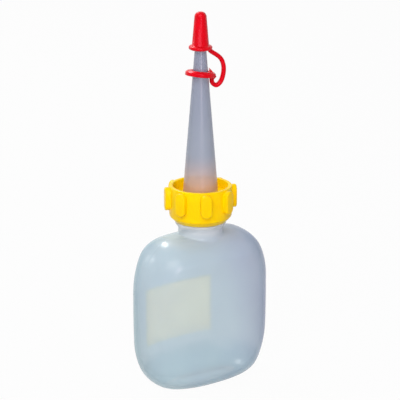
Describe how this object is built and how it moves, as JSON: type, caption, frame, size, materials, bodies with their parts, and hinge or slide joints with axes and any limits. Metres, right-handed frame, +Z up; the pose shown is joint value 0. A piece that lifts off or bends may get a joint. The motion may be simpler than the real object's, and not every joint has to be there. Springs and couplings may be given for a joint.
{
  "type": "oval plastic bottle",
  "caption": "Flat oval squeeze bottle with a long conical nozzle, a ribbed union nut that clamps it, and a tip cap held by a strap and ring.",
  "frame": {"origin": "middle of the base, on the surface it stands on, below the neck's axis", "axes": "+Z up along the neck, +X along the wide faces, +Y towards the face with the label"},
  "size_m": [0.085, 0.0453, 0.2156],
  "materials": {
    "natural_plastic": "translucent natural polyethylene, satin",
    "label_paper": "plain pale paper",
    "nozzle_plastic": "translucent grey natural polyethylene, satin",
    "yellow_plastic": "moulded yellow polypropylene, semi-gloss",
    "red_plastic": "moulded red polyethylene, semi-gloss"
  },
  "bodies": {
    "bottle": {"bottle": "natural_plastic", "label": "label_paper"},
    "spout": {"nozzle": "nozzle_plastic"},
    "nut": {"union_nut": "yellow_plastic"},
    "tether": {"tether_ring": "red_plastic", "tether_strap": "red_plastic"},
    "cap": {"tip_cap": "red_plastic"}
  },
  "joints": [
    {"name": "nozzle_lift", "type": "slide", "parent": "bottle", "child": "spout", "axis": [0, 0, 1], "range_m": [0, 0.008]},
    {"name": "nut_turn", "type": "hinge", "parent": "spout", "child": "nut", "pos_m": [0, 0, 0.1064], "axis": [0, 0, 1], "range_deg": [0, 720]},
    {"name": "closure_swivel", "type": "hinge", "parent": "spout", "child": "tether", "pos_m": [0, 0, 0.181], "axis": [0, 0, 1], "continuous": true},
    {"name": "tip_cap_pull", "type": "slide", "parent": "tether", "child": "cap", "axis": [0, 0, 1], "range_m": [0, 0.014], "deforming": ["tether_strap"]}
  ],
  "couplings": [
    {"joint": "nozzle_lift", "follows": "nut_turn", "m_per_rad": 0.0006366}
  ]
}
